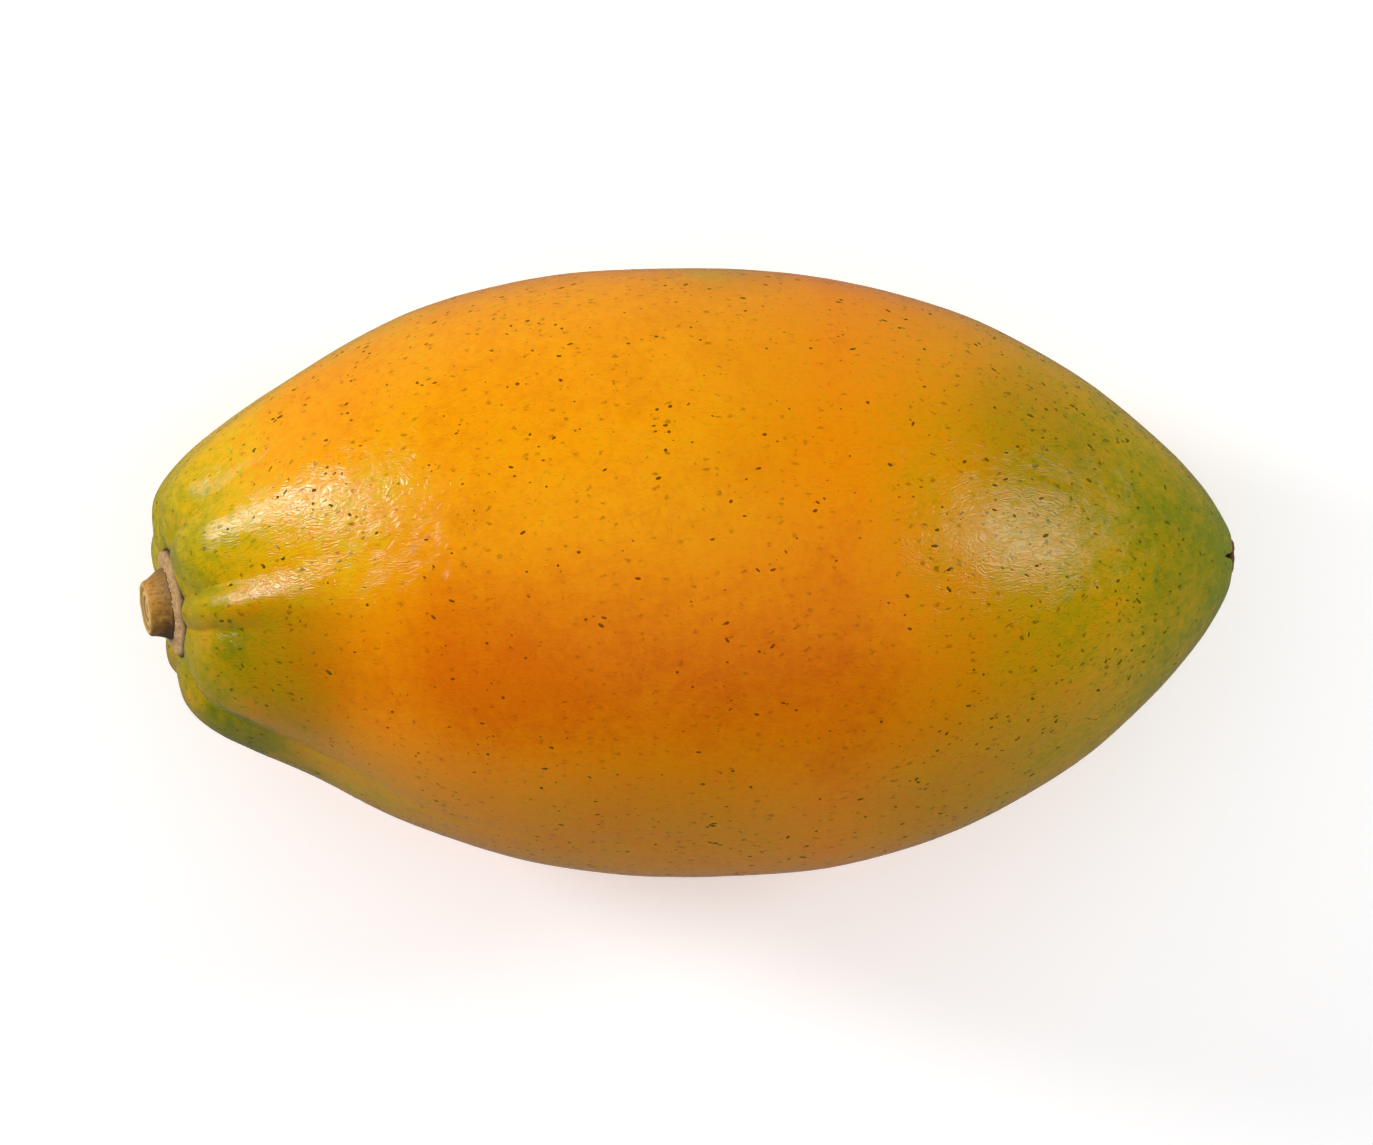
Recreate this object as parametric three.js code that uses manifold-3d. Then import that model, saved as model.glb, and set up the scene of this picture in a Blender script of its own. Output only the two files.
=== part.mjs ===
// A ripe papaya lying on its side. Millimetres, +Z up.
// The fruit's axis runs along X, with the stem at -X and the blossom end at +X.
// Angles round the axis start at +Y and turn towards +Z, so 90 degrees is the top of the fruit.

import * as THREE from 'three';
import * as BufferGeometryUtils from 'three/addons/utils/BufferGeometryUtils.js';
import Module from 'manifold-3d';

const wasm = await Module();
wasm.setup();

// Fruit
const widthToHeight = 0.968; // the fruit is a little lower than it is wide
const axisHeight = 53.1; // of the fruit's axis above the surface it rests on
const fruitSegments = 84; // round the axis
const ringStep = 1.2; // longest step between two rings of points on the axis
const ringStepGrowth = 0.18; // and how much longer it gets for each mm of radius

// Outline of the fruit, from the floor of the stem pit to the floor of the blossom pit.
// Each row: place along the axis, radius, centre's place in Y, centre's height over the axis.
const fruitOutline = [
  [-93.0, 0.0, -5.6, 1.0],
  [-93.4, 7.6, -5.6, 1.0],
  [-95.3, 10.8, -5.7, 1.0],
  [-95.8, 14.0, -5.6, 0.9],
  [-94.5, 20.1, -5.3, 0.7],
  [-90.4, 25.2, -4.7, 0.5],
  [-83.0, 30.7, -3.1, 0.3],
  [-70.0, 38.3, -0.7, 0.1],
  [-50.0, 48.5, 0.9, 0.0],
  [-26.0, 54.9, 0.4, 0.0],
  [0.0, 56.7, -0.1, 0.0],
  [26.0, 54.7, -0.2, 0.0],
  [50.0, 48.0, 0.0, 0.0],
  [70.0, 37.6, 0.3, 0.0],
  [85.0, 25.4, 1.0, 0.0],
  [94.5, 15.1, 1.7, 0.0],
  [99.5, 7.5, 2.0, 0.0],
  [100.9, 3.6, 2.5, 0.0],
  [100.1, 2.1, 2.8, 0.0],
  [99.4, 0.0, 2.8, 0.0],
];

// The stem end leans: its upper and its -Y side lie further from the stem than the other two.
const leanZ = { slope: 0.256, whole: -92, gone: 5 }; // mm along X for each mm up, and where along X
const leanY = { slope: -0.148, whole: -92, gone: -45 }; // mm along X for each mm in Y

// Lobes and the grooves between them. Places are degrees round the axis at the stem and on the body.
// A valley is soft and fades over its reach. A crease is the narrow fold along the bottom of it.
const grooves = [
  { atStem: 29, onBody: 44, valley: 2.1, reach: 27, crease: 0.5, main: false },
  { atStem: 87, onBody: 79, valley: 2.5, reach: 26, crease: 0.3, main: true },
  { atStem: 114, onBody: 105, valley: 2.1, reach: 27, crease: 0.3, main: false },
  { atStem: 160, onBody: 164, valley: 2.5, reach: 38, crease: 1.1, main: true },
  { atStem: 210, onBody: 220, valley: 2.2, reach: 34, crease: 0.8, main: true },
  { atStem: 245, onBody: 248, valley: 1.8, reach: 24, crease: 0.5, main: false },
  { atStem: 282, onBody: 286, valley: 2.4, reach: 34, crease: 0.8, main: true },
  { atStem: 318, onBody: 318, valley: 1.8, reach: 24, crease: 0.6, main: false },
  { atStem: 350, onBody: 354, valley: 1.7, reach: 30, crease: 0.6, main: true },
];
const swing = { from: 10, to: 24 }; // radii, from the places at the stem to those on the body
const twist = { turn: -20, from: -70, to: 40 }; // degrees that all grooves turn by, and where along X
const lobeCrest = -95.8; // the lobes' furthest reach along X, before the lean
const sharpArch = 0.8; // power of a lobe's sine arch at the stem, where its sides are steep
const softArch = 2; // and further on, where it flattens out
const softFrom = 28; // mm from the crest
const grooveStart = 7; // radius in the stem pit where the grooves begin
const grooveFull = 18; // radius on the lobes where they have their whole depth
const creaseWidth = 2.2; // mm from the bottom of a crease to where a third of its depth is left
const creaseReach = 40; // mm along the fruit
const bodyCrease = 0.28; // what stays of the main creases along the body
const sideFlatness = 1.1; // how far the five sides fall in at the main grooves
const creaseEnd = 2.5; // radius at the blossom end where the creases run out

// Collar: rows as for the fruit's outline, from its seat under the stem to its underside
const collarSegments = 45;
const collarOutline = [
  [-95.8, 0.0, -5.8, 1.1],
  [-95.9, 5.2, -5.8, 1.1],
  [-96.2, 7.4, -5.8, 1.1],
  [-95.9, 8.9, -5.7, 1.1],
  [-95.3, 9.3, -5.6, 1.0],
  [-94.5, 8.2, -5.6, 1.0],
  [-93.85, 5.6, -5.6, 1.0],
  [-93.75, 0.0, -5.6, 1.0],
];
const collarScallops = 9;
const collarScallopDepth = 0.22;

// Stem stub: rows as for the fruit's outline, from its cut face to its foot on the collar
const stubSegments = 30;
const stubOutline = [
  [-100.25, 0.0, -7.0, 2.3],
  [-100.15, 1.5, -7.0, 2.3],
  [-100.4, 2.4, -7.0, 2.3],
  [-100.25, 3.2, -7.0, 2.3],
  [-100.45, 3.8, -7.0, 2.3],
  [-100.55, 4.6, -7.0, 2.3],
  [-100.1, 5.15, -6.9, 2.2],
  [-99.3, 5.4, -6.7, 2.0],
  [-98.3, 5.8, -6.4, 1.7],
  [-97.3, 6.3, -6.1, 1.4],
  [-96.65, 6.1, -6.0, 1.3],
  [-96.25, 3.6, -5.9, 1.2],
  [-96.15, 0.0, -5.9, 1.2],
];
const stubRibs = 7;
const stubRibDepth = 0.12;

// Blossom scar: rows as for the fruit's outline, from the floor of its pit outwards
const scarSegments = 25;
const scarOutline = [
  [99.75, 0.0, 2.8, 0.0],
  [100.1, 1.0, 2.8, 0.0],
  [100.75, 1.95, 2.8, 0.0],
  [101.25, 1.9, 2.9, 0.0],
  [101.45, 1.2, 3.0, 0.0],
  [101.2, 0.0, 3.0, 0.0],
];
const scarLobes = 5;
const scarLobeDepth = 0.12;

const fruitMaterial = new THREE.MeshStandardMaterial({ color: 0xe6930f, roughness: 0.42, metalness: 0 });
const collarMaterial = new THREE.MeshStandardMaterial({ color: 0x96785a, roughness: 0.85, metalness: 0 });
const stubMaterial = new THREE.MeshStandardMaterial({ color: 0x9a6a26, roughness: 0.7, metalness: 0 });
const scarMaterial = new THREE.MeshStandardMaterial({ color: 0x5e4326, roughness: 0.85, metalness: 0 });

const radians = THREE.MathUtils.degToRad;
const smoothstep = THREE.MathUtils.smoothstep;
const lerp = THREE.MathUtils.lerp;

// A row of an outline anywhere between its rows, on a Catmull-Rom curve through them.
function outlineAt(rows, place) {
  const span = Math.min(Math.floor(place), rows.length - 2);
  const part = place - span;
  const before = rows[Math.max(span - 1, 0)];
  const from = rows[span];
  const to = rows[span + 1];
  const after = rows[Math.min(span + 2, rows.length - 1)];
  return from.map((value, column) => {
    const startSlope = (to[column] - before[column]) / 2;
    const endSlope = (after[column] - value) / 2;
    const square = part * part;
    const cube = square * part;
    return value * (2 * cube - 3 * square + 1) + startSlope * (cube - 2 * square + part)
      + to[column] * (3 * square - 2 * cube) + endSlope * (cube - square);
  });
}

// Where a groove lies at a place along the axis, in degrees.
function groovePlace(groove, along, radius) {
  const settling = along < 0 ? smoothstep(radius, swing.from, swing.to) : 1;
  const settled = lerp(groove.atStem, groove.onBody, settling);
  return settled + twist.turn * smoothstep(along, twist.from, twist.to);
}

// How deep the valleys between lobes are at an angle. The depth turns from one groove's into the next one's.
function valleyAt(list, angle, along, radius, depthOf, power) {
  const places = list.map((groove) => groovePlace(groove, along, radius));
  const turned = places[0] + THREE.MathUtils.euclideanModulo(angle - places[0], 360);
  const lobe = places.findLastIndex((place) => place <= turned);
  const next = (lobe + 1) % list.length;
  const width = THREE.MathUtils.euclideanModulo(places[next] - places[lobe], 360);
  const across = (turned - places[lobe]) / width;
  const arch = Math.max(Math.sin(Math.PI * across), 0) ** power;
  return (1 - arch) * lerp(depthOf(list[lobe]), depthOf(list[next]), smoothstep(across, 0, 1));
}

const mainGrooves = grooves.filter((groove) => groove.main);

// How far the skin of the fruit lies below the smooth outline.
function fruitRelief(along, radius, angle) {
  const fromCrest = Math.max(along - lobeCrest, 0);
  const nearStem = along < 0 ? smoothstep(radius, grooveStart, grooveFull) : 0;
  const nearTip = along < 0 ? 1 : smoothstep(radius, creaseEnd, grooveFull);
  const onBody = nearTip * smoothstep(radius, grooveFull, 2 * grooveFull);
  const valleyOf = (groove) => groove.valley * nearStem * Math.exp(-((fromCrest / groove.reach) ** 2));
  const power = lerp(sharpArch, softArch, smoothstep(fromCrest, 0, softFrom));
  const sideOf = () => sideFlatness * onBody;
  let sunk = valleyAt(grooves, angle, along, radius, valleyOf, power);
  sunk += valleyAt(mainGrooves, angle, along, radius, sideOf, softArch);
  grooves.forEach((groove) => {
    const turn = THREE.MathUtils.euclideanModulo(angle - groovePlace(groove, along, radius) + 180, 360) - 180;
    const away = Math.abs(radians(turn)) * radius;
    const fading = groove.crease * nearStem * Math.exp(-fromCrest / creaseReach);
    const depth = Math.max(fading, groove.main ? bodyCrease * nearTip : 0);
    sunk += depth * Math.exp(-away / creaseWidth);
  });
  return sunk;
}

// A point of a round body. Its relief is taken off square to the outline, and its stem end leans.
function bodyPoint(rows, place, angle, relief, leanAt) {
  const [along, radius, centreY, centreZ] = outlineAt(rows, place);
  const ahead = outlineAt(rows, Math.min(place + 0.01, rows.length - 1));
  const behind = outlineAt(rows, Math.max(place - 0.01, 0));
  const tangent = new THREE.Vector2(ahead[0] - behind[0], ahead[1] - behind[1]).normalize();
  const sunk = radius > 0 ? relief(along, radius, angle) : 0;
  const across = radius - sunk * tangent.x;
  const y = centreY + across * Math.cos(radians(angle));
  const z = centreZ + across * widthToHeight * Math.sin(radians(angle));
  const stem = fruitOutline[0];
  const lean = leanAt(leanZ, along) * (z - stem[3]) + leanAt(leanY, along) * (y - stem[2]);
  return [along + sunk * tangent.y + lean, y, z + axisHeight];
}

// Rings of points round the axis, through an outline, as one closed surface.
function roundBody(rows, segments, relief, leanAt) {
  const places = [];
  for (let span = 0; span < rows.length - 1; span += 1) {
    const [fromAlong, fromRadius] = rows[span];
    const [toAlong, toRadius] = rows[span + 1];
    const longest = ringStep + (ringStepGrowth * (fromRadius + toRadius)) / 2;
    const steps = Math.ceil(Math.hypot(toAlong - fromAlong, toRadius - fromRadius) / longest);
    for (let step = 0; step < steps; step += 1) {
      places.push(span + step / steps);
    }
  }
  places.push(rows.length - 1);

  const positions = [];
  places.forEach((place, ring) => {
    const atPole = ring === 0 || ring === places.length - 1;
    for (let segment = 0; segment < (atPole ? 1 : segments); segment += 1) {
      positions.push(...bodyPoint(rows, place, (360 * segment) / segments, relief, leanAt));
    }
  });

  const ringStart = (ring) => 1 + (ring - 1) * segments;
  const lastPoint = positions.length / 3 - 1;
  const indices = [];
  for (let segment = 0; segment < segments; segment += 1) {
    const next = (segment + 1) % segments;
    indices.push(0, ringStart(1) + next, ringStart(1) + segment);
    for (let ring = 1; ring < places.length - 2; ring += 1) {
      const near = ringStart(ring);
      const far = ringStart(ring + 1);
      indices.push(near + segment, far + next, far + segment);
      indices.push(near + segment, near + next, far + next);
    }
    const rim = ringStart(places.length - 2);
    indices.push(rim + segment, rim + next, lastPoint);
  }
  const geometry = new THREE.BufferGeometry();
  geometry.setAttribute('position', new THREE.Float32BufferAttribute(positions, 3));
  geometry.setIndex(indices);
  return geometry;
}

// A closed geometry as a solid that can be cut.
function solidOf(geometry) {
  const bare = geometry.clone();
  bare.deleteAttribute('normal');
  bare.deleteAttribute('uv');
  const merged = BufferGeometryUtils.mergeVertices(bare, 1e-5);
  return new wasm.Manifold(new wasm.Mesh({
    numProp: 3,
    vertProperties: new Float32Array(merged.attributes.position.array),
    triVerts: new Uint32Array(merged.index.array),
  }));
}

// A solid back as a geometry.
function geometryOf(solid) {
  const mesh = solid.getMesh();
  const geometry = new THREE.BufferGeometry();
  geometry.setAttribute('position', new THREE.BufferAttribute(new Float32Array(mesh.vertProperties), 3));
  geometry.setIndex(new THREE.BufferAttribute(new Uint32Array(mesh.triVerts), 1));
  return geometry;
}

// The fruit, cut flat where it rests: everything under the surface is taken away.
function makeFruit() {
  const leanAt = (lean, along) => lean.slope * (1 - smoothstep(along, lean.whole, lean.gone));
  const whole = solidOf(roundBody(fruitOutline, fruitSegments, fruitRelief, leanAt));
  const underSurface = new THREE.BoxGeometry(300, 300, 40).translate(0, 0, -20);
  return geometryOf(whole.subtract(solidOf(underSurface)));
}

// The dry collar in the stem pit, with a scalloped edge.
function makeCollar() {
  const relief = (along, radius, angle) => {
    const outer = smoothstep(radius, 6, 9);
    return collarScallopDepth * outer * (1 + Math.cos(radians(collarScallops * angle)));
  };
  return roundBody(collarOutline, collarSegments, relief, (lean) => lean.slope);
}

// The cut stump of the stem, with faint ribs down its side and rings on its cut face.
function makeStub() {
  const relief = (along, radius, angle) => {
    const side = smoothstep(radius, 4, 5.5);
    return stubRibDepth * side * (1 + Math.cos(radians(stubRibs * angle)));
  };
  return roundBody(stubOutline, stubSegments, relief, (lean) => lean.slope);
}

// The corky plug at the blossom end.
function makeScar() {
  const relief = (along, radius, angle) => {
    const side = smoothstep(radius, 0.8, 1.8);
    return scarLobeDepth * side * (1 + Math.cos(radians(scarLobes * angle)));
  };
  return roundBody(scarOutline, scarSegments, relief, () => 0);
}

function addPiece(group, name, geometry, material) {
  const mesh = new THREE.Mesh(geometry, material);
  mesh.name = name;
  geometry.computeVertexNormals();
  group.add(mesh);
}

const papaya = new THREE.Group();
addPiece(papaya, 'papaya_fruit', makeFruit(), fruitMaterial);
addPiece(papaya, 'calyx_collar', makeCollar(), collarMaterial);
addPiece(papaya, 'stem_stub', makeStub(), stubMaterial);
addPiece(papaya, 'blossom_scar', makeScar(), scarMaterial);

// The origin is on the surface, under the middle of the whole.
const middle = new THREE.Box3().setFromObject(papaya).getCenter(new THREE.Vector3());
papaya.position.set(-middle.x, -middle.y, 0);

export default papaya;
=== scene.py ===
import math

import bpy
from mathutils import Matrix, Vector


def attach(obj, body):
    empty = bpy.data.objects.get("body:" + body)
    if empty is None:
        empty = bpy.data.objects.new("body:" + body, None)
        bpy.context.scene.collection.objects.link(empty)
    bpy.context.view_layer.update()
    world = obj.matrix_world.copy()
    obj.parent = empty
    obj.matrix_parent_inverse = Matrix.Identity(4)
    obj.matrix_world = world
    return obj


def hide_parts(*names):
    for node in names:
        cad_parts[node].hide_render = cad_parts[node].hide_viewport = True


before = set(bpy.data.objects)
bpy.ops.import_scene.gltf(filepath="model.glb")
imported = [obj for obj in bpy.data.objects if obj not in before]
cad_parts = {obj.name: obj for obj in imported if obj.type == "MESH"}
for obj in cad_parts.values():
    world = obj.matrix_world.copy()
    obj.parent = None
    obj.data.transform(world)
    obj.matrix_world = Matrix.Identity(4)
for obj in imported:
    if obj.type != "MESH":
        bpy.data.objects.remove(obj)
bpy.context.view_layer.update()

mm = 0.001  # sizes below are in millimetres, the scene is in metres
scene = bpy.context.scene


# A socket that takes part in sums, in a material or in a Geometry Nodes tree
class Wire:
    def __init__(self, tree, socket):
        self.tree = tree
        self.socket = socket

    def node(self, kind, settings=None, values=None, output=0):
        made = self.tree.nodes.new(kind)
        for name, value in (settings or {}).items():
            if name == "stops":
                setStops(made.color_ramp, value)
            else:
                setattr(made, name, value)
        for name, value in (values or {}).items():
            socket = made.inputs[name]
            if isinstance(value, Wire):
                self.tree.links.new(value.socket, socket)
            else:
                socket.default_value = value
        return Wire(self.tree, made.outputs[output])

    def math(self, operation, *others):
        values = dict(enumerate((self,) + others))
        return self.node("ShaderNodeMath", {"operation": operation}, values)

    def __add__(self, other):
        return self.math("ADD", other)

    def __sub__(self, other):
        return self.math("SUBTRACT", other)

    def __rsub__(self, other):
        return self.node("ShaderNodeMath", {"operation": "SUBTRACT"}, {0: other, 1: self})

    def __mul__(self, other):
        return self.math("MULTIPLY", other)

    def __truediv__(self, other):
        return self.math("DIVIDE", other)

    def __rtruediv__(self, other):
        return self.node("ShaderNodeMath", {"operation": "DIVIDE"}, {0: other, 1: self})

    def __pow__(self, other):
        return self.math("POWER", other)

    __radd__ = __add__
    __rmul__ = __mul__

    def smooth(self, low, high):  # 0 below low, 1 above high
        values = {"Value": self, "From Min": low, "From Max": high}
        return self.node("ShaderNodeMapRange", {"interpolation_type": "SMOOTHSTEP"}, values)

    def ramp(self, low, high):  # the same in a straight line
        return self.node("ShaderNodeMapRange", {}, {"Value": self, "From Min": low, "From Max": high})

    def part(self, index):  # 0, 1 or 2 for X, Y or Z
        return self.node("ShaderNodeSeparateXYZ", {}, {0: self}, index)

    def noise(self, scale, detail=2.0, roughness=0.5, distortion=0.0, output=0):
        values = {"Vector": self, "Scale": scale, "Detail": detail}
        values.update({"Roughness": roughness, "Distortion": distortion})
        return self.node("ShaderNodeTexNoise", {"noise_dimensions": "3D"}, values, output)

    def stretched(self, x, y, z):
        return self.node("ShaderNodeVectorMath", {"operation": "MULTIPLY"}, {0: self, 1: (x, y, z)})


def setStops(ramp, stops):
    while len(ramp.elements) < len(stops):
        ramp.elements.new(0.5)
    for element, (place, colour) in zip(ramp.elements, stops):
        element.position = place
        element.color = colour


def colour(red, green, blue):  # 0 to 255 as seen on a screen
    seen = [value / 255 for value in (red, green, blue)]
    linear = [value / 12.92 if value <= 0.04045 else ((value + 0.055) / 1.055) ** 2.4 for value in seen]
    return (*linear, 1.0)


def blendColours(amount, under, over, how="MIX"):
    settings = {"data_type": "RGBA", "blend_type": how}
    return amount.node("ShaderNodeMix", settings, {0: amount, 6: under, 7: over}, 2)


# The camera looks straight down on the fruit, from far enough off to show it almost without perspective
cameraView = {
    "distance": 1200,  # from the fruit's widest level
    "level": 53,  # height of that level over the floor
    "width": 254.3,  # of the picture there
    "sensor": 36,
}


def makeCamera(view):
    data = bpy.data.cameras.new("camera")
    data.sensor_width = view["sensor"]
    data.lens = view["sensor"] * view["distance"] / view["width"]
    data.clip_end = 10
    camera = bpy.data.objects.new("camera", data)
    camera.location = (0, 0, (view["level"] + view["distance"]) * mm)
    scene.collection.objects.link(camera)
    scene.camera = camera


makeCamera(cameraView)
print("camera made")


# Every piece is turned round one level axis
body = {
    "axisHeight": 53.1,
    "widthToHeight": 0.968,
    "shift": (-0.07, 0.3),  # brings the middle of the whole part over the origin
    "restingEdge": 0.25,  # how softly the flat spot underneath runs out
    "grainRadius": 50,  # of the tube on which the strokes of the skin are laid out
    "seam": 2e-6,  # points this close, in metres, are joined
}

# Outlines hold the place along the fruit's axis, the radius, and the centre's place in Y and its
# height over the axis. The fruit's runs from the floor of the stem pit to the floor of the blossom pit.
fruit = {
    "outline": [
        (-93.0, 0.0, -5.6, 1.0),
        (-93.4, 7.6, -5.6, 1.0),
        (-95.3, 10.8, -5.7, 1.0),
        (-95.8, 14.0, -5.6, 0.9),
        (-94.5, 20.1, -5.3, 0.7),
        (-90.4, 25.2, -4.7, 0.5),
        (-83.0, 30.7, -3.1, 0.3),
        (-70.0, 38.3, -0.7, 0.1),
        (-50.0, 48.5, 0.9, 0.0),
        (-26.0, 54.9, 0.4, 0.0),
        (0.0, 56.7, -0.1, 0.0),
        (26.0, 54.7, -0.2, 0.0),
        (50.0, 48.0, 0.0, 0.0),
        (70.0, 37.6, 0.3, 0.0),
        (85.0, 25.4, 1.0, 0.0),
        (94.5, 15.1, 1.7, 0.0),
        (99.5, 7.5, 2.0, 0.0),
        (100.9, 3.6, 2.5, 0.0),
        (100.1, 2.1, 2.8, 0.0),
        (99.4, 0.0, 2.8, 0.0),
    ],
    "segments": 320,
    "ringStep": 0.34,  # longest step between two rings on the axis, and its growth for each mm of radius
    "ringStepGrowth": 0.0162,
    "leanZ": (0.256, -92, 60),  # mm along X for each mm up, and from where to where along X it fades
    "leanY": (-0.148, -92, -45),
    "lobeCrest": -95.8,
    "swing": (10, 24),  # radii between which the grooves move to their places on the body
    "twist": (-20, -70, 40),  # degrees that the grooves turn by, and where along X
    "sharpArch": 0.8,
    "softArch": 2.0,
    "softFrom": 14,
    "grooveStart": 7,
    "grooveFull": 18,
    "creaseWidth": 1.7,
    "creaseReach": 30,
    "bodyCrease": 0.12,
    "sideFlatness": 1.1,
    "creaseEnd": 2.5,
    "starArms": 5,  # short creases round the tip
    "starTurn": 84,  # degrees at which one of them lies
    "starDepth": 1.6,
    "starWidth": (1.1, 0.25),  # of an arm, near the plug and at its end
    "starNarrows": (2.0, 5.5),  # radii between which it does
    "starStart": (1.0, 2.6),
    "starEnd": (4.0, 9.0),
    "bulges": [((-64, 13, 86), 12, 1.0), ((-89, 4, 73), 5.5, 1.0)],  # place, reach and height
    "dents": 0.5,  # depth of the broad unevenness
    "ripples": 0.06,  # and of the fine one
    "evenWithin": (3, 14),  # radii between which both begin
}
# Degrees at the stem and on the body, depth and reach of the soft valley, depth of the fold in it, and
# whether it runs on along the body
grooves = [
    (29, 44, 2.3, 21, 0.3, False),
    (87, 84, 2.6, 15, 0.3, True),
    (114, 105, 2.1, 16, 0.3, False),
    (160, 164, 2.5, 38, 1.1, True),
    (210, 220, 2.2, 34, 0.8, True),
    (245, 248, 1.8, 24, 0.5, False),
    (282, 286, 2.4, 34, 0.8, True),
    (318, 318, 1.8, 24, 0.6, False),
    (350, 354, 1.7, 30, 0.6, True),
]


def outlineAt(rows, place):  # a Catmull-Rom curve through the rows
    span = min(int(place), len(rows) - 2)
    part = place - span
    before, start, end = rows[max(span - 1, 0)], rows[span], rows[span + 1]
    after = rows[min(span + 2, len(rows) - 1)]
    square, cube = part ** 2, part ** 3
    return [
        a * (2 * cube - 3 * square + 1) + (b - o) / 2 * (cube - 2 * square + part)
        + b * (3 * square - 2 * cube) + (n - a) / 2 * (cube - square)
        for o, a, b, n in zip(before, start, end, after)
    ]


# The outline as a line of points that a tree can turn round the axis
def makeOutline(name, rows, step, growth):
    places = []
    for span, (start, end) in enumerate(zip(rows, rows[1:])):
        longest = step + growth * (start[1] + end[1]) / 2
        steps = math.ceil(math.hypot(end[0] - start[0], end[1] - start[1]) / longest)
        places += [span + count / steps for count in range(steps)]
    places.append(len(rows) - 1)
    points = [outlineAt(rows, place) for place in places]
    mesh = bpy.data.meshes.new(name)
    mesh.from_pydata([(along, radius, 0) for along, radius, _, _ in points], [], [])
    ways, lengths = [], [0.0]
    for index, place in enumerate(places):
        ahead = outlineAt(rows, min(place + 0.01, len(rows) - 1))
        behind = outlineAt(rows, max(place - 0.01, 0))
        ways.append(Vector((ahead[0] - behind[0], ahead[1] - behind[1], 0)).normalized())
        if index:
            lengths.append(lengths[-1] + math.dist(points[index][:2], points[index - 1][:2]))
    centres = [(0, y, z) for _, _, y, z in points]
    for title, kind, slot, values in (
        ("centre", "FLOAT_VECTOR", "vector", [part for centre in centres for part in centre]),
        ("tangent", "FLOAT_VECTOR", "vector", [part for way in ways for part in way]),
        ("length", "FLOAT", "value", lengths),
    ):
        mesh.attributes.new(title, kind, "POINT").data.foreach_set(slot, values)
    outline = bpy.data.objects.new(name, mesh)
    scene.collection.objects.link(outline)
    return outline


# Turns an outline round the axis. relief gives how far the surface is sunk at a point.
def turningTree(name, relief, lean, material):
    tree = bpy.data.node_groups.new(name, "GeometryNodeTree")
    tree.interface.new_socket("Geometry", in_out="INPUT", socket_type="NodeSocketGeometry")
    tree.interface.new_socket("Segments", in_out="INPUT", socket_type="NodeSocketInt")
    tree.interface.new_socket("Axis Height", in_out="INPUT", socket_type="NodeSocketFloat")
    tree.interface.new_socket("Width To Height", in_out="INPUT", socket_type="NodeSocketFloat")
    tree.interface.new_socket("Geometry", in_out="OUTPUT", socket_type="NodeSocketGeometry")
    given = tree.nodes.new("NodeGroupInput")
    source = Wire(tree, given.outputs["Geometry"])
    segments = Wire(tree, given.outputs["Segments"])
    axisHeight = Wire(tree, given.outputs["Axis Height"])
    widthToHeight = Wire(tree, given.outputs["Width To Height"])

    rings = source.node("GeometryNodeAttributeDomainSize", {"component": "MESH"}, {"Geometry": source})
    grid = source.node("GeometryNodeMeshGrid", {}, {"Vertices X": rings, "Vertices Y": segments + 1})
    index = source.node("GeometryNodeInputIndex")
    ring = (index / (segments + 1) + 0.0001).math("FLOOR")
    angle = (index - ring * (segments + 1)) * 360 / segments

    def sample(kind, value):
        values = {"Geometry": source, "Value": value, "Index": ring}
        return source.node("GeometryNodeSampleIndex", {"data_type": kind, "domain": "POINT"}, values)

    def stored(kind, attribute):
        return source.node("GeometryNodeInputNamedAttribute", {"data_type": kind}, {"Name": attribute})

    spot = sample("FLOAT_VECTOR", source.node("GeometryNodeInputPosition"))
    centre = sample("FLOAT_VECTOR", stored("FLOAT_VECTOR", "centre"))
    tangent = sample("FLOAT_VECTOR", stored("FLOAT_VECTOR", "tangent"))
    run = sample("FLOAT", stored("FLOAT", "length"))
    along, radius = spot.part(0), spot.part(1)
    turn = angle * (math.pi / 180)
    cosine, sine = turn.math("COSINE"), turn.math("SINE")

    def placeAt(sunk):
        across = radius - sunk * tangent.part(0)
        y = centre.part(1) + across * cosine
        z = centre.part(2) + across * sine * widthToHeight
        x = along + sunk * tangent.part(1) + lean(along, y, z)
        return x, y, (z + axisHeight)

    smooth = placeAt(index * 0)
    smoothPlace = source.node("ShaderNodeCombineXYZ", {}, dict(enumerate(smooth)))
    sunk = relief(along, radius, angle, smoothPlace)
    x, y, z = placeAt(sunk)
    height = z.math("SMOOTH_MAX", 0.0, body["restingEdge"])
    shiftX, shiftY = body["shift"]
    corner = {0: (x + shiftX) * mm, 1: (y + shiftY) * mm, 2: height * mm}
    place = source.node("ShaderNodeCombineXYZ", {}, corner)
    placed = source.node("GeometryNodeSetPosition", {}, {"Geometry": grid, "Position": place})
    tube = body["grainRadius"]
    grain = source.node("ShaderNodeCombineXYZ", {}, {0: run, 1: cosine * tube, 2: sine * tube})
    values = {"Geometry": placed, "Name": "grain", "Value": grain}
    kept = source.node("GeometryNodeStoreNamedAttribute", {"data_type": "FLOAT_VECTOR"}, values)
    closed = source.node("GeometryNodeMergeByDistance", {}, {"Geometry": kept, "Distance": body["seam"]})
    shaded = source.node("GeometryNodeSetShadeSmooth", {}, {"Geometry": closed})
    real = source.node("GeometryNodeRealizeInstances", {}, {"Geometry": shaded})
    finished = source.node("GeometryNodeSetMaterial", {}, {"Geometry": real, "Material": material})
    result = tree.nodes.new("NodeGroupOutput")
    tree.links.new(finished.socket, result.inputs["Geometry"])
    return tree


def setInputs(modifier, values):
    for item in modifier.node_group.interface.items_tree:
        if item.in_out == "INPUT" and item.name in values:
            modifier[item.identifier] = values[item.name]


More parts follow.
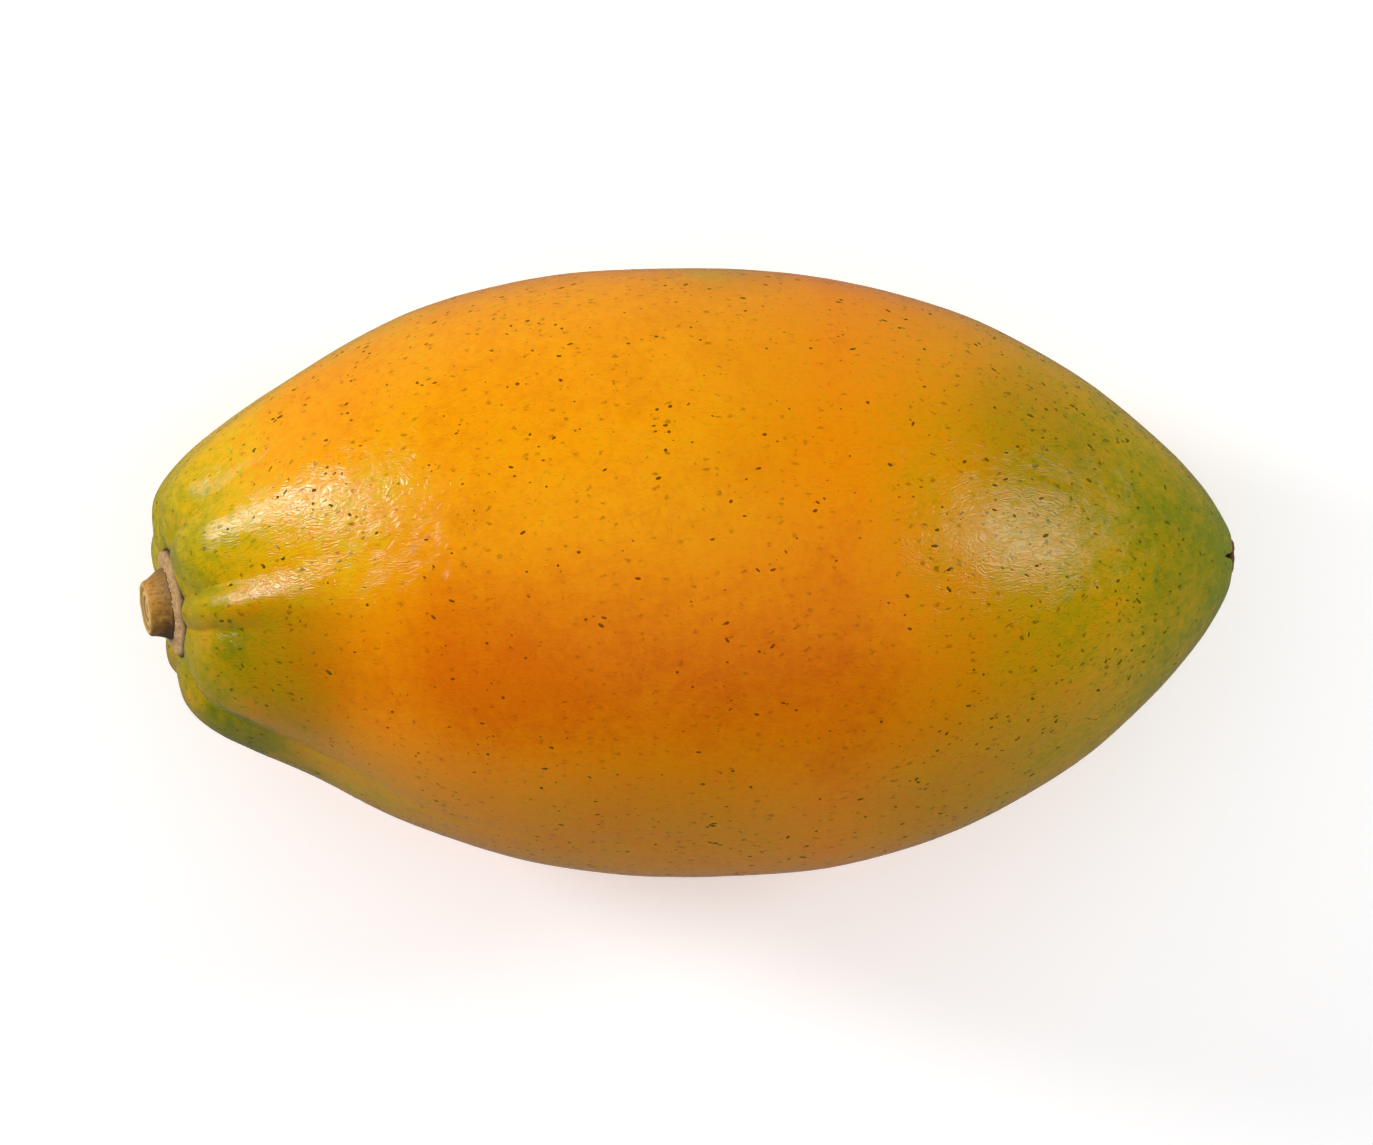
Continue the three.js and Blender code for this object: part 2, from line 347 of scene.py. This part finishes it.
# Takes a tree's result as a plain mesh, with its faces outwards
def keepResult(item):
    evaluated = item.evaluated_get(bpy.context.evaluated_depsgraph_get())
    mesh = bpy.data.meshes.new_from_object(evaluated)
    item.modifiers.clear()
    item.data = mesh
    volume = 0.0
    for face in mesh.polygons:
        first, second, third = [mesh.vertices[index].co for index in face.vertices[:3]]
        volume += first.dot(second.cross(third))
    if volume < 0:
        mesh.flip_normals()
    return item


def turnedPiece(name, shape, relief, lean, material):
    piece = makeOutline(name, shape["outline"], shape["ringStep"], shape["ringStepGrowth"])
    modifier = piece.modifiers.new("turn", "NODES")
    modifier.node_group = turningTree(name + "_tree", relief, lean, material)
    setInputs(modifier, {
        "Segments": shape["segments"],
        "Axis Height": body["axisHeight"],
        "Width To Height": body["widthToHeight"],
    })
    return keepResult(piece)


# Ties a finished piece to the part
def settle(piece, node):
    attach(piece, "root")
    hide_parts(node)


# The fruit's relief: soft valleys between lobes, a fold along each, five flattened sides, and unevenness
def fruitRelief(along, radius, angle, spot):
    fromCrest = (along - fruit["lobeCrest"]).math("MAXIMUM", 0.0)
    stemHalf = along.math("LESS_THAN", 0.0)
    nearStem = stemHalf * radius.smooth(fruit["grooveStart"], fruit["grooveFull"])
    nearTip = stemHalf.math("MAXIMUM", radius.smooth(fruit["creaseEnd"], fruit["grooveFull"]))
    onBody = nearTip * radius.smooth(fruit["grooveFull"], 2 * fruit["grooveFull"])
    low, high = fruit["swing"]
    settling = radius.smooth(low, high).math("MAXIMUM", along.math("GREATER_THAN", 0.0))
    turn, fromPlace, toPlace = fruit["twist"]
    twist = along.smooth(fromPlace, toPlace) * turn
    places = [(onBodyAt - atStem) * settling + atStem + twist for atStem, onBodyAt, *_ in grooves]

    def valleys(chosen, depths, power):
        total = None
        for index, groove in enumerate(chosen):
            after = chosen[(index + 1) % len(chosen)]
            width = (places[after] - places[groove]).math("FLOORED_MODULO", 360.0)
            across = (angle - places[groove]).math("FLOORED_MODULO", 360.0) / width
            inside = across.math("LESS_THAN", 1.0)
            arch = (across * math.pi).math("SINE").math("MAXIMUM", 0.0) ** power
            change = across.smooth(0.0, 1.0)
            depth = depths[groove] * (1 - change) + depths[after] * change
            here = inside * (1 - arch) * depth
            total = here if total is None else total + here
        return total

    softening = fruit["softArch"] - fruit["sharpArch"]
    power = fromCrest.smooth(0, fruit["softFrom"]) * softening + fruit["sharpArch"]
    depths = []
    for _, _, valley, reach, _, _ in grooves:
        ratio = fromCrest / reach
        depths.append(nearStem * valley * (0 - ratio * ratio).math("EXPONENT"))
    sunk = valleys(range(len(grooves)), depths, power)
    mains = [index for index, groove in enumerate(grooves) if groove[5]]
    sunk = sunk + valleys(mains, [onBody * fruit["sideFlatness"]] * len(grooves), fruit["softArch"])
    fading = nearStem * (0 - fromCrest / fruit["creaseReach"]).math("EXPONENT")
    for index, (_, _, _, _, crease, main) in enumerate(grooves):
        turned = (angle - places[index] + 180).math("FLOORED_MODULO", 360.0) - 180
        away = turned.math("ABSOLUTE") * (math.pi / 180) * radius
        depth = fading * crease
        if main:
            depth = depth.math("MAXIMUM", nearTip * fruit["bodyCrease"])
        sunk = sunk + depth * (0 - away / fruit["creaseWidth"]).math("EXPONENT")
    halfTurn = fruit["starArms"] / 2 * math.pi / 180
    away = ((angle - fruit["starTurn"]) * halfTurn).math("SINE").math("ABSOLUTE")
    wide, narrow = fruit["starWidth"]
    star = (1 - away / (wide - radius.smooth(*fruit["starNarrows"]) * (wide - narrow))).math("MAXIMUM", 0.0)
    reach = radius.smooth(*fruit["starStart"]) * (1 - radius.smooth(*fruit["starEnd"]))
    sunk = sunk + star * (along.math("GREATER_THAN", 0.0) * reach) * fruit["starDepth"]
    for centre, reach, height in fruit["bulges"]:
        away = spot.node("ShaderNodeVectorMath", {"operation": "DISTANCE"}, {0: spot, 1: centre}, 1) / reach
        sunk = sunk - (away * away * -0.5).math("EXPONENT") * height
    free = radius.smooth(*fruit["evenWithin"])
    dents = spot.noise(0.028, 1.0) - 0.5
    ripples = spot.noise(0.16, 2.0) - 0.5
    return sunk + free * (dents * (2 * fruit["dents"]) + ripples * (2 * fruit["ripples"]))


def fruitLean(along, y, z):
    slopeZ, wholeZ, goneZ = fruit["leanZ"]
    slopeY, wholeY, goneY = fruit["leanY"]
    _, _, stemY, stemZ = fruit["outline"][0]
    upward = (z - stemZ) * slopeZ * (1 - along.smooth(wholeZ, goneZ))
    return upward + (y - stemY) * slopeY * (1 - along.smooth(wholeY, goneY))


def stemLean(along, y, z):
    _, _, stemY, stemZ = fruit["outline"][0]
    return (z - stemZ) * fruit["leanZ"][0] + (y - stemY) * fruit["leanY"][0]


def noLean(along, y, z):
    return along * 0


# Materials
def newMaterial(name):
    material = bpy.data.materials.new(name)
    material.use_nodes = True
    tree = material.node_tree
    principled = tree.nodes["Principled BSDF"]
    texture = tree.nodes.new("ShaderNodeTexCoord")
    return material, principled, Wire(tree, texture.outputs["Object"])


def link(wire, principled, name):
    wire.tree.links.new(wire.socket, principled.inputs[name])


def inMillimetres(spot):
    return spot.node("ShaderNodeVectorMath", {"operation": "SCALE"}, {0: spot, "Scale": 1 / mm})


def bentBy(place, noise, reach):  # moves a pattern's place by up to this many millimetres
    values = {0: noise, 1: (reach, reach, reach), 2: place}
    return place.node("ShaderNodeVectorMath", {"operation": "MULTIPLY_ADD"}, values)


def addBump(principled, strength, height):
    bump = height.node("ShaderNodeBump", {}, {"Strength": strength, "Distance": reliefStep, "Height": height})
    link(bump, principled, "Normal")


# Ripeness runs from 0, still green, to 1, deep orange. It fades towards both ends, and the two ends
# ripen in their own colours. Patches are (place, radius, how much riper they are).
skinLook = {
    "stemColours": [
        (0.0, colour(150, 140, 10)),
        (0.25, colour(192, 166, 12)),
        (0.45, colour(230, 176, 8)),
        (0.65, colour(243, 156, 3)),
        (0.85, colour(234, 132, 0)),
        (1.0, colour(224, 112, 0)),
    ],
    "tipColours": [
        (0.0, colour(122, 130, 2)),
        (0.2, colour(160, 142, 2)),
        (0.4, colour(192, 150, 2)),
        (0.6, colour(214, 146, 1)),
        (0.8, colour(236, 140, 0)),
        (1.0, colour(224, 112, 0)),
    ],
    "patches": [
        ((-76, -16, 76), 17, -0.2),
        ((-84, -30, 58), 16, -0.26),
        ((-90, -10, 66), 22, -0.27),
        ((-72, -32, 48), 38, -0.17),
        ((-92, 22, 56), 22, 0.1),
        ((-96, -14, 44), 16, -0.2),
        ((-90, -26, 36), 18, -0.2),
        ((56, 10, 90), 32, -0.1),
        ((-60, 6, 94), 20, -0.08),
        ((-68, 27, 74), 26, 0.2),
        ((-36, -18, 100), 24, 0.06),
        ((6, 52, 64), 14, -0.12),
        ((76, 18, 76), 16, -0.08),
        ((-20, -54, 50), 30, -0.04),
        ((20, 40, 10), 60, -0.12),
        ((-30, -20, 6), 50, 0.1),
    ],
    "dusky": [
        ((-73, -16, 78), 24, 0.75),
        ((-80, -34, 50), 22, 0.6),
        ((64, 22, 82), 26, 0.45),
        ((84, 4, 66), 20, 0.3),
        ((6, 50, 66), 16, 0.3),
        ((50, -30, 80), 40, 0.3),
    ],
    "duskyTint": (0.56, 0.62, 0.4, 1.0),
    "poreTint": (0.3, 0.3, 0.08, 1.0),
    "roughness": 0.15,
    "specular": 0.25,
    "strokeStrength": 0.38,
}
reliefStep = 0.0003  # height in metres that every bump stands for


def makeSkin(look):
    material, principled, spot = newMaterial("papaya_skin")
    place = inMillimetres(spot)
    x, y = place.part(0), place.part(1)
    cloud = place.noise(0.024, 2.0, 0.5) - 0.5
    patch = place.noise(0.075, 4.0, 0.6) - 0.5
    mottle = place.noise(0.45, 4.0, 0.7) - 0.5

    towardsTip, towardsStem = x.ramp(27, 99) * 0.87, (0 - x).ramp(44, 96) * 0.44
    stemPit = (0 - x).smooth(90, 98) * 0.15
    upperSide = y.smooth(-20, 14) * (0.28 - x.ramp(5, 50) * 0.26)
    lowerSide = (0 - y).smooth(20, 48) * (0.3 - x.ramp(5, 50) * 0.15)
    ripe = 0.96 - towardsTip - towardsStem - stemPit - upperSide - lowerSide

    def near(centre, radius):
        away = place.node("ShaderNodeVectorMath", {"operation": "DISTANCE"}, {0: place, 1: centre}, 1)
        return 1 - (away + patch * 14).smooth(radius * 0.25, radius)

    for centre, radius, more in look["patches"]:
        ripe = ripe + near(centre, radius) * more
    ripe = ripe + cloud * 0.14 + (patch * 0.7 + mottle) * (0.28 + (1 - ripe).smooth(0.25, 0.7) * 0.52)
    stemEnd = ripe.node("ShaderNodeValToRGB", {"stops": look["stemColours"]}, {"Fac": ripe})
    tipEnd = ripe.node("ShaderNodeValToRGB", {"stops": look["tipColours"]}, {"Fac": ripe})
    lowSide = (0 - y + patch * 12).smooth(-3, 15) * 0.85
    base = blendColours((x + patch * 30).smooth(-20, 45).math("MAXIMUM", lowSide), stemEnd, tipEnd)
    dusk = patch * 0.5 + mottle * 0.3
    for centre, radius, depth in look["dusky"]:
        dusk = dusk + near(centre, radius) * depth
    dusk = dusk.math("MAXIMUM", 0.0).math("MINIMUM", 1.0)
    base = blendColours(dusk, base, look["duskyTint"], "MULTIPLY")

    # pores: small dark blots, fewer and fainter where the fruit is ripe
    blot = place.noise(0.8, 2.0, 0.5, 0.0, 1)
    strewn = bentBy(place, blot, 1.8)
    cell = place.node(
        "ShaderNodeTexVoronoi", {"voronoi_dimensions": "3D", "feature": "F1"},
        {"Vector": strewn.stretched(0.55, 1, 1), "Scale": 0.8},
    )
    chance = Wire(cell.tree, cell.socket.node.outputs["Color"]).part(0)
    unripe = (1 - ripe).smooth(0.1, 0.6) * 0.5 + 0.42
    pores = (1 - (cell * (1.9 - chance)).smooth(0.08, 0.38)) * (chance + cloud).smooth(0.38, 0.85) * unripe
    base = blendColours(pores, base, look["poreTint"], "MULTIPLY")

    # strokes in the wax, which run along the fruit
    grain = spot.node("ShaderNodeAttribute", {"attribute_name": "grain"}, {}, 1)
    warp = place.noise(0.16, 2.0, 0.5, 0.0, 1)
    bent = bentBy(grain, warp, 7)
    strokes = bent.stretched(0.45, 2.3, 2.3).noise(1.0, 2.0, 0.5, 0.3)
    furrows = (1 - strokes.smooth(0.32, 0.48)) * ((1 - ripe).smooth(0.2, 0.7) * 0.25 + 0.1)
    link(blendColours(furrows, base, look["poreTint"], "MULTIPLY"), principled, "Base Color")
    grit = place.noise(2.4, 2.0, 0.6)
    heights = strokes * 0.9 + grit * 0.1
    addBump(principled, look["strokeStrength"], heights)
    link(mottle * 0.08 + look["roughness"], principled, "Roughness")
    principled.inputs["Specular IOR Level"].default_value = look["specular"]
    return material


skin = makeSkin(skinLook)
fruitPiece = turnedPiece("papaya_skin", fruit, fruitRelief, fruitLean, skin)
settle(fruitPiece, "papaya_fruit")
print("fruit made,", len(fruitPiece.data.polygons), "faces")


# The dry collar between fruit and stem, from the face under the stem out to its edge and back to its seat
collar = {
    "outline": [
        (-95.8, 0.0, -5.8, 1.1),
        (-95.9, 5.2, -5.8, 1.1),
        (-96.3, 7.0, -5.8, 1.1),
        (-96.1, 8.8, -5.8, 1.1),
        (-95.7, 9.6, -5.9, 1.3),
        (-94.6, 10.2, -5.9, 1.3),
        (-93.6, 9.5, -5.8, 1.2),
        (-93.0, 8.0, -5.6, 1.0),
        (-92.9, 0.0, -5.6, 1.0),
    ],
    "segments": 220,
    "ringStep": 0.13,
    "ringStepGrowth": 0.0,
    "scallops": 9,
    "scallopDepth": 0.22,
    "edgeWander": 0.9,
    "corkDepth": 0.5,
}


def collarRelief(along, radius, angle, spot):
    edge = radius.smooth(6, 9)
    scallop = (angle * (collar["scallops"] * math.pi / 180)).math("COSINE") + 1
    wander = spot.noise(0.42, 2.0) - 0.5
    cork = spot.noise(1.9, 4.0, 0.65) - 0.5
    cut = scallop * collar["scallopDepth"] + wander * collar["edgeWander"]
    return edge * cut + cork * collar["corkDepth"]


corkLook = {
    "pale": colour(204, 164, 108),
    "middle": colour(164, 128, 82),
    "dark": colour(70, 52, 34),
    "roughness": 0.82,
    "bump": 0.7,
}


def makeCork(look):
    material, principled, spot = newMaterial("papaya_calyx")
    place = inMillimetres(spot)
    run = spot.node("ShaderNodeAttribute", {"attribute_name": "grain"}, {}, 1).part(0)
    mottle = place.noise(1.4, 4.0, 0.7)
    grit = place.noise(6.0, 3.0, 0.7)
    base = blendColours(mottle.smooth(0.38, 0.62), look["middle"], look["pale"])
    rim = (run + (mottle - 0.5) * 2).smooth(9.6, 10.8)
    base = blendColours((rim + grit.smooth(0.56, 0.7) * 0.5).math("MINIMUM", 1.0), base, look["dark"])
    link(base, principled, "Base Color")
    addBump(principled, look["bump"], grit * 0.6 + mottle * 0.4)
    principled.inputs["Roughness"].default_value = look["roughness"]
    return material


collarPiece = turnedPiece("papaya_collar", collar, collarRelief, stemLean, makeCork(corkLook))
settle(collarPiece, "calyx_collar")
print("collar made,", len(collarPiece.data.polygons), "faces")


# The cut stem, from the middle of its cut face to its foot in the collar
stub = {
    "outline": [
        (-100.2, 0.0, -7.0, 2.3),
        (-100.1, 1.5, -7.0, 2.3),
        (-100.4, 2.4, -7.0, 2.3),
        (-100.2, 3.2, -7.0, 2.3),
        (-100.45, 3.8, -7.0, 2.3),
        (-100.55, 4.6, -7.0, 2.3),
        (-100.1, 5.15, -6.9, 2.2),
        (-99.3, 5.4, -6.7, 2.0),
        (-98.3, 5.8, -6.4, 1.7),
        (-97.3, 6.3, -6.1, 1.4),
        (-96.3, 6.7, -6.0, 1.3),
        (-95.7, 5.6, -5.9, 1.2),
        (-95.6, 0.0, -5.9, 1.2),
    ],
    "segments": 220,
    "ringStep": 0.09,
    "ringStepGrowth": 0.0,
    "ribs": 7,
    "ribDepth": 0.12,
    "fibreDepth": 0.1,
    "ringSpacing": 1.7,
    "ringDepth": 0.13,
}


def stubRelief(along, radius, angle, spot):
    side = radius.smooth(4, 5.5)
    rib = (angle * (stub["ribs"] * math.pi / 180)).math("COSINE") + 1
    fibres = spot.stretched(0.25, 1, 1).noise(1.1, 3.0, 0.6) - 0.5
    face = 1 - radius.smooth(4.2, 4.9)
    rings = (radius * (2 * math.pi / stub["ringSpacing"])).math("SINE")
    grooved = rib * stub["ribDepth"] + fibres * stub["fibreDepth"] * 2
    return side * grooved + face * rings * stub["ringDepth"]


stemLook = {
    "amber": colour(196, 142, 50),
    "brown": colour(156, 108, 36),
    "shaded": colour(84, 58, 20),
    "cut": colour(214, 172, 88),
    "cutDark": colour(122, 82, 28),
    "roughness": 0.6,
    "bump": 0.6,
}


def makeStem(look):
    material, principled, spot = newMaterial("papaya_stem")
    place = inMillimetres(spot)
    run = spot.node("ShaderNodeAttribute", {"attribute_name": "grain"}, {}, 1).part(0)
    fibres = place.stretched(0.3, 1, 1).noise(2.4, 4.0, 0.7)
    mottle = place.noise(0.9, 4.0, 0.65)
    side = blendColours((fibres * 0.6 + mottle * 0.4).smooth(0.4, 0.62), look["amber"], look["brown"])
    rings = ((run + (mottle - 0.5) * 0.4) * (2 * math.pi / stub["ringSpacing"])).math("SINE") * 0.5 + 0.5
    cut = blendColours(rings * 0.8, look["cut"], look["cutDark"])
    # painted shade: the stem's side is darkened on its lower side and towards its foot in the collar, in the
    # shaded colour
    shadeBelow = (0 - place.part(1) + (mottle - 0.5) * 4).smooth(6, 12)
    shadeNearFoot = (run + (mottle - 0.5) * 2).smooth(5.5, 9.5)
    side = blendColours((shadeBelow * 0.6 + shadeNearFoot * 0.6).math("MINIMUM", 1.0), side, look["shaded"])
    base = blendColours((run + (mottle - 0.5) * 0.5).smooth(4.5, 5.3), cut, side)
    link(base, principled, "Base Color")
    addBump(principled, look["bump"], fibres * 0.7 + mottle * 0.3)
    principled.inputs["Roughness"].default_value = look["roughness"]
    return material


stubPiece = turnedPiece("papaya_stem_stub", stub, stubRelief, stemLean, makeStem(stemLook))
settle(stubPiece, "stem_stub")
print("stem made,", len(stubPiece.data.polygons), "faces")


# The dry plug in the pit at the blossom end, from its foot to its top
scar = {
    "outline": [
        (99.0, 0.0, 2.8, 0.0),
        (99.5, 1.5, 2.8, 0.0),
        (100.2, 2.7, 2.8, 0.0),
        (100.9, 3.2, 2.8, 0.0),
        (101.3, 2.8, 2.9, 0.0),
        (101.45, 1.5, 3.0, 0.0),
        (101.35, 0.0, 3.0, 0.0),
    ],
    "segments": 90,
    "ringStep": 0.08,
    "ringStepGrowth": 0.0,
    "lobes": 5,
    "lobeDepth": 0.12,
    "crumbleDepth": 0.35,
}


def scarRelief(along, radius, angle, spot):
    edge = radius.smooth(0.8, 1.8)
    lobe = (angle * (scar["lobes"] * math.pi / 180)).math("COSINE") + 1
    crumble = spot.noise(1.6, 3.0, 0.65) - 0.5
    return edge * lobe * scar["lobeDepth"] + crumble * scar["crumbleDepth"]


scarLook = {
    "middle": colour(122, 88, 44),
    "dark": colour(78, 52, 28),
    "roughness": 0.85,
    "bump": 0.7,
}


def makeScar(look):
    material, principled, spot = newMaterial("papaya_scar")
    place = inMillimetres(spot)
    mottle = place.noise(2.0, 4.0, 0.7)
    link(blendColours(mottle.smooth(0.4, 0.62), look["middle"], look["dark"]), principled, "Base Color")
    addBump(principled, look["bump"], mottle)
    principled.inputs["Roughness"].default_value = look["roughness"]
    return material


scarPiece = turnedPiece("papaya_blossom_scar", scar, scarRelief, noLean, makeScar(scarLook))
settle(scarPiece, "blossom_scar")
print("scar made,", len(scarPiece.data.polygons), "faces")


# Scatters small flattened grains over a surface. thickness gives, field by field, where they are dense.
def scatterTree(name, thickness, material):
    tree = bpy.data.node_groups.new(name, "GeometryNodeTree")
    tree.interface.new_socket("Geometry", in_out="INPUT", socket_type="NodeSocketGeometry")
    for title in ("Per Square Mm", "Seed", "Smallest", "Largest", "Longest Stretch", "Flatness", "Straying"):
        kind = "NodeSocketInt" if title == "Seed" else "NodeSocketFloat"
        tree.interface.new_socket(title, in_out="INPUT", socket_type=kind)
    tree.interface.new_socket("Geometry", in_out="OUTPUT", socket_type="NodeSocketGeometry")
    given = tree.nodes.new("NodeGroupInput")
    source, density, seed, smallest, largest, stretch, flatness, straying = [
        Wire(tree, socket) for socket in given.outputs[:8]
    ]
    place = source.node("GeometryNodeInputPosition")
    spot = inMillimetres(place)
    perMetre = density * thickness(spot).math("MAXIMUM", 0.0) * 1e6
    values = {"Mesh": source, "Density": perMetre, "Seed": seed}
    points = source.node("GeometryNodeDistributePointsOnFaces", {}, values)
    normal = Wire(tree, points.socket.node.outputs["Normal"])

    def draw(step):  # a random number for each grain
        values = {2: 0.0, 3: 1.0, "Seed": seed + step}
        return source.node("FunctionNodeRandomValue", {"data_type": "FLOAT"}, values, 1)

    size = (draw(1) ** 2.5) * (largest - smallest) + smallest
    long = (draw(2) ** 1.5) * (stretch - 1) + 1
    values = {0: (-1, -1, -1), 1: (1, 1, 1), "Seed": seed + 3}
    anyWay = source.node("FunctionNodeRandomValue", {"data_type": "FLOAT_VECTOR"}, values)
    stray = source.node("ShaderNodeVectorMath", {"operation": "SCALE"}, {0: anyWay, "Scale": straying})
    way = source.node("ShaderNodeVectorMath", {"operation": "ADD"}, {0: stray, 1: (1, 0, 0)})
    upright = source.node("FunctionNodeAlignRotationToVector", {"axis": "Z"}, {"Vector": normal})
    settings = {"axis": "X", "pivot_axis": "Z"}
    turned = source.node("FunctionNodeAlignRotationToVector", settings, {"Rotation": upright, "Vector": way})
    scale = source.node("ShaderNodeCombineXYZ", {}, {0: size * long, 1: size, 2: size * flatness})
    grain = source.node("GeometryNodeMeshIcoSphere", {}, {"Radius": 0.5 * mm, "Subdivisions": 1})
    placed = source.node(
        "GeometryNodeInstanceOnPoints", {},
        {"Points": points, "Instance": grain, "Rotation": turned, "Scale": scale},
    )
    real = source.node("GeometryNodeRealizeInstances", {}, {"Geometry": placed})
    shaded = source.node("GeometryNodeSetShadeSmooth", {}, {"Geometry": real})
    finished = source.node("GeometryNodeSetMaterial", {}, {"Geometry": shaded, "Material": material})
    result = tree.nodes.new("NodeGroupOutput")
    tree.links.new(finished.socket, result.inputs["Geometry"])
    return tree


def scatteredPiece(name, ground, values, thickness, material):
    piece = bpy.data.objects.new(name, ground.data.copy())
    scene.collection.objects.link(piece)
    modifier = piece.modifiers.new("scatter", "NODES")
    modifier.node_group = scatterTree(name + "_tree", thickness, material)
    setInputs(modifier, values)
    keepResult(piece)
    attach(piece, "root")
    print(name, "made,", len(piece.data.polygons), "faces")


# The breathing pores of the skin, corky and dark, thickest where the fruit is least ripe
specks = {
    "Per Square Mm": 0.2,
    "Seed": 11,
    "Smallest": 0.16,
    "Largest": 0.72,
    "Longest Stretch": 2.6,
    "Flatness": 0.12,
    "Straying": 0.7,
}


def speckThickness(spot):
    x, y = spot.part(0), spot.part(1)
    clusters = spot.noise(0.11, 3.0, 0.6).smooth(0.38, 0.68)
    ends = x.smooth(20, 75) * 0.45 + (0 - x).smooth(40, 90) * 0.25
    edges = y.math("ABSOLUTE").smooth(22, 50) * 0.25
    clear = x.smooth(-90, -82) * (1 - x.smooth(90, 95)) * spot.part(2).smooth(1, 4)
    return (clusters + 0.12) * (ends + edges + 0.35) * clear


speckLook = {
    "green": colour(104, 90, 8),
    "brown": colour(136, 74, 4),
    "roughness": 0.45,
}


def makeSpecks(look):
    material, principled, spot = newMaterial("papaya_specks")
    place = inMillimetres(spot)
    x, y = place.part(0), place.part(1)
    change = place.noise(0.25, 1.0) * 50 - 25
    ends = (x + change).smooth(28, 62).math("MAXIMUM", (0 - x + change).smooth(48, 72))
    rims = (y.math("ABSOLUTE") + change * 0.5).smooth(22, 40)
    link(blendColours(ends.math("MAXIMUM", rims), look["brown"], look["green"]), principled, "Base Color")
    principled.inputs["Roughness"].default_value = look["roughness"]
    principled.inputs["Specular IOR Level"].default_value = 0.0
    return material


scatteredPiece("papaya_specks", fruitPiece, specks, speckThickness, makeSpecks(speckLook))


# Dried sap, in pale grains where the stem meets the collar
sap = {
    "Per Square Mm": 5.0,
    "Seed": 5,
    "Smallest": 0.2,
    "Largest": 0.62,
    "Longest Stretch": 1.4,
    "Flatness": 0.8,
    "Straying": 1.0,
}


def sapThickness(spot):
    joint = (-96, -5.9, 54.3)  # where the stem's axis meets the collar
    away = spot.node("ShaderNodeVectorMath", {"operation": "DISTANCE"}, {0: spot, 1: joint}, 1)
    ring = away.smooth(6.2, 6.7) * (1 - away.smooth(7.0, 7.6))
    clusters = spot.noise(0.7, 2.0).smooth(0.45, 0.65)
    return ring * clusters * (spot.part(2) - joint[2]).smooth(1.5, 4.5)


sapLook = {
    "pale": colour(214, 200, 164),
    "roughness": 0.5,
}


def makeSap(look):
    material, principled, _ = newMaterial("papaya_dried_sap")
    principled.inputs["Base Color"].default_value = look["pale"]
    principled.inputs["Roughness"].default_value = look["roughness"]
    return material


scatteredPiece("papaya_dried_sap", collarPiece, sap, sapThickness, makeSap(sapLook))


# Floor and light
studio = {
    "floor": colour(251, 251, 252),
    "size": 3000,
    "glow": 0.25,  # of the floor, which keeps it white
    "underside": 0.2,  # light from under the level of the floor
    "ambient": 0.07,  # and from above it
}


def makeFloor(look):
    half = look["size"] * mm / 2
    mesh = bpy.data.meshes.new("floor")
    corners = [(-half, -half, 0), (half, -half, 0), (half, half, 0), (-half, half, 0)]
    mesh.from_pydata(corners, [], [(0, 1, 2, 3)])
    floor = bpy.data.objects.new("floor", mesh)
    material, principled, _ = newMaterial("floor")
    principled.inputs["Base Color"].default_value = look["floor"]
    principled.inputs["Roughness"].default_value = 0.9
    principled.inputs["Emission Color"].default_value = look["floor"]
    principled.inputs["Emission Strength"].default_value = look["glow"]
    mesh.materials.append(material)
    scene.collection.objects.link(floor)
    floor.visible_glossy = False  # so that the skin's sides keep their colour


# Each softbox hangs in a direction seen from the fruit: degrees round from +X, and down from straight above
softboxes = {
    "right": {"round": 18, "down": 61, "far": 900, "size": (290, 450), "watts": 2.7, "seenInGloss": True},
    "left": {"round": 159, "down": 67, "far": 900, "size": (200, 250), "watts": 4.4, "seenInGloss": True},
    "upper": {"round": 90, "down": 72, "far": 900, "size": (1300, 300), "watts": 1.2, "seenInGloss": False},
    "fill": {"round": 270, "down": 3, "far": 1700, "size": (3200, 3200), "watts": 24.5, "seenInGloss": False},
}


def hangSoftbox(name, look):
    data = bpy.data.lights.new(name, "AREA")
    data.shape = "ELLIPSE"
    data.size, data.size_y = [side * mm for side in look["size"]]
    data.energy = look["watts"]
    light = bpy.data.objects.new(name + "_softbox", data)
    turn, down = math.radians(look["round"]), math.radians(look["down"])
    way = Vector((math.cos(turn) * math.sin(down), math.sin(turn) * math.sin(down), math.cos(down)))
    light.location = way * look["far"] * mm + Vector((0, 0, body["axisHeight"] * mm))
    light.rotation_euler = way.to_track_quat("Z", "Y").to_euler()
    light.visible_glossy = look["seenInGloss"]
    scene.collection.objects.link(light)


# Dim above the floor and brighter below it, where only grazing reflections reach
def makeWorld(above, below):
    world = bpy.data.worlds.new("studio")
    world.use_nodes = True
    background = world.node_tree.nodes["Background"]
    background.inputs["Color"].default_value = (1, 1, 1, 1)
    texture = world.node_tree.nodes.new("ShaderNodeTexCoord")
    way = Wire(world.node_tree, texture.outputs["Generated"])
    strength = way.part(2).math("LESS_THAN", 0.0) * (below - above) + above
    link(strength, background, "Strength")
    scene.world = world


makeFloor(studio)
makeWorld(studio["ambient"], studio["underside"])
for name, look in softboxes.items():
    hangSoftbox(name, look)
scene.view_settings.view_transform = "Standard"
print("light and floor made")
